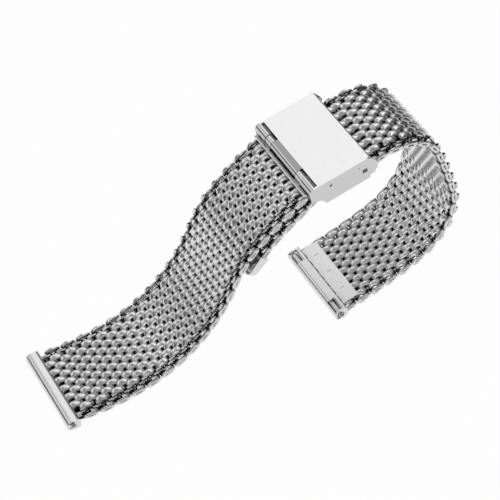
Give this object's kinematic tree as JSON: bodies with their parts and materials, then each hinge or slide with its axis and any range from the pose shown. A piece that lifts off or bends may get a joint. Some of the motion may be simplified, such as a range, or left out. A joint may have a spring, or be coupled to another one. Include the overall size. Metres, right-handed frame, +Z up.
{
  "type": "milanese mesh watch band",
  "caption": "Woven steel mesh watch strap with a hinged sliding clasp and sprung lug ends, closed into a loop and standing on its ends.",
  "frame": {"origin": "bottom centre of the whole band's box, as it stands on its two lug ends", "axes": "+X from the short strap's lug end towards the long strap, +Y across the strap, +Z up"},
  "size_m": [0.0878, 0.021, 0.0436],
  "materials": {
    "polished_steel": "polished",
    "mesh_wire": "drawn wire, bright",
    "fitting_steel": "satin",
    "spring_steel": "plain"
  },
  "bodies": {
    "clasp": {"slider_frame": "fitting_steel", "latch_bar": "fitting_steel", "lever_pin": "fitting_steel", "hook_plate": "fitting_steel", "hinge_pin": "fitting_steel", "short_mesh_root": "mesh_wire"},
    "cover": {"clasp_cover": "polished_steel"},
    "lever": {"locking_lever": "fitting_steel"},
    "long_run": {"long_mesh_clasp": "mesh_wire"},
    "short_1": {"short_mesh_1": "mesh_wire"},
    "short_2": {"short_mesh_2": "mesh_wire"},
    "short_3": {"short_mesh_3": "mesh_wire"},
    "short_4": {"short_mesh_4": "mesh_wire"},
    "short_5": {"short_mesh_5": "mesh_wire"},
    "short_6": {"short_mesh_6": "mesh_wire", "short_lug_tube": "fitting_steel", "short_lug_clamp": "fitting_steel", "short_bar_barrel": "fitting_steel", "short_bar_spring": "spring_steel"},
    "long_1": {"long_mesh_1": "mesh_wire"},
    "long_2": {"long_mesh_2": "mesh_wire"},
    "long_3": {"long_mesh_3": "mesh_wire"},
    "long_4": {"long_mesh_4": "mesh_wire"},
    "long_5": {"long_mesh_5": "mesh_wire"},
    "long_6": {"long_mesh_6": "mesh_wire", "long_lug_tube": "fitting_steel", "long_lug_clamp": "fitting_steel", "long_bar_barrel": "fitting_steel", "long_bar_spring": "spring_steel"},
    "tail_1": {"tail_mesh_1": "mesh_wire"},
    "tail_2": {"tail_mesh_2": "mesh_wire", "tail_tip": "fitting_steel"},
    "short_tip_far": {"short_bar_tip_far": "fitting_steel"},
    "short_tip_near": {"short_bar_tip_near": "fitting_steel"},
    "long_tip_far": {"long_bar_tip_far": "fitting_steel"},
    "long_tip_near": {"long_bar_tip_near": "fitting_steel"}
  },
  "joints": [
    {"name": "cover_hinge", "type": "hinge", "parent": "clasp", "child": "cover", "pos_m": [0.00891, 0, 0.03964], "axis": [0, -1, 0], "range_deg": [0, 115]},
    {"name": "lever_lift", "type": "hinge", "parent": "clasp", "child": "lever", "pos_m": [0.01838, 0, 0.04174], "axis": [0, 1, 0], "range_deg": [0, 65]},
    {"name": "long_adjust", "type": "slide", "parent": "clasp", "child": "long_run", "axis": [0.9706, 0, 0.2407], "range_m": [0, 0.0017]},
    {"name": "short_bend_1", "type": "hinge", "parent": "clasp", "child": "short_1", "pos_m": [0.00616, 0, 0.03659], "axis": [0, 1, 0], "range_deg": [0, 25]},
    {"name": "short_bend_2", "type": "hinge", "parent": "short_1", "child": "short_2", "pos_m": [-0.00164, 0, 0.03006], "axis": [0, 1, 0], "range_deg": [0, 20]},
    {"name": "short_bend_3", "type": "hinge", "parent": "short_2", "child": "short_3", "pos_m": [-0.00714, 0, 0.02154], "axis": [0, 1, 0], "range_deg": [-20, 25]},
    {"name": "short_bend_4", "type": "hinge", "parent": "short_3", "child": "short_4", "pos_m": [-0.0102, 0, 0.01548], "axis": [0, 1, 0], "range_deg": [-20, 25]},
    {"name": "short_bend_5", "type": "hinge", "parent": "short_4", "child": "short_5", "pos_m": [-0.01694, 0, 0.00788], "axis": [0, 1, 0], "range_deg": [-20, 25]},
    {"name": "short_bend_6", "type": "hinge", "parent": "short_5", "child": "short_6", "pos_m": [-0.02753, 0, 0.00268], "axis": [0, 1, 0], "range_deg": [-20, 25]},
    {"name": "long_bend_1", "type": "hinge", "parent": "long_run", "child": "long_1", "pos_m": [0.02309, 0, 0.04063], "axis": [0, -1, 0], "range_deg": [-5, 25]},
    {"name": "long_bend_2", "type": "hinge", "parent": "long_1", "child": "long_2", "pos_m": [0.02976, 0, 0.04153], "axis": [0, -1, 0], "range_deg": [-10, 30]},
    {"name": "long_bend_3", "type": "hinge", "parent": "long_2", "child": "long_3", "pos_m": [0.03758, 0, 0.03573], "axis": [0, -1, 0], "range_deg": [-10, 30]},
    {"name": "long_bend_4", "type": "hinge", "parent": "long_3", "child": "long_4", "pos_m": [0.04193, 0, 0.02466], "axis": [0, -1, 0], "range_deg": [-10, 30]},
    {"name": "long_bend_5", "type": "hinge", "parent": "long_4", "child": "long_5", "pos_m": [0.04144, 0, 0.01472], "axis": [0, -1, 0], "range_deg": [-10, 30]},
    {"name": "long_bend_6", "type": "hinge", "parent": "long_5", "child": "long_6", "pos_m": [0.03445, 0, 0.00756], "axis": [0, -1, 0], "range_deg": [-10, 30]},
    {"name": "tail_bend_1", "type": "hinge", "parent": "long_run", "child": "tail_1", "pos_m": [0.01154, 0, 0.03777], "axis": [0, -1, 0], "range_deg": [0, 10]},
    {"name": "tail_bend_2", "type": "hinge", "parent": "tail_1", "child": "tail_2", "pos_m": [0.00507, 0, 0.03226], "axis": [0, -1, 0], "range_deg": [0, 30]},
    {"name": "short_tip_far_press", "type": "slide", "parent": "short_6", "child": "short_tip_far", "axis": [0, -1, 0], "range_m": [0, 0.00075], "stiffness_N_per_m": 400, "deforming": ["short_bar_spring"]},
    {"name": "short_tip_near_press", "type": "slide", "parent": "short_6", "child": "short_tip_near", "axis": [0, 1, 0], "range_m": [0, 0.00075], "stiffness_N_per_m": 400, "deforming": ["short_bar_spring"]},
    {"name": "long_tip_far_press", "type": "slide", "parent": "long_6", "child": "long_tip_far", "axis": [0, -1, 0], "range_m": [0, 0.00075], "stiffness_N_per_m": 400, "deforming": ["long_bar_spring"]},
    {"name": "long_tip_near_press", "type": "slide", "parent": "long_6", "child": "long_tip_near", "axis": [0, 1, 0], "range_m": [0, 0.00075], "stiffness_N_per_m": 400, "deforming": ["long_bar_spring"]}
  ],
  "couplings": [
    {"joint": "lever_lift", "follows": "cover_hinge", "ratio": 0.55}
  ]
}
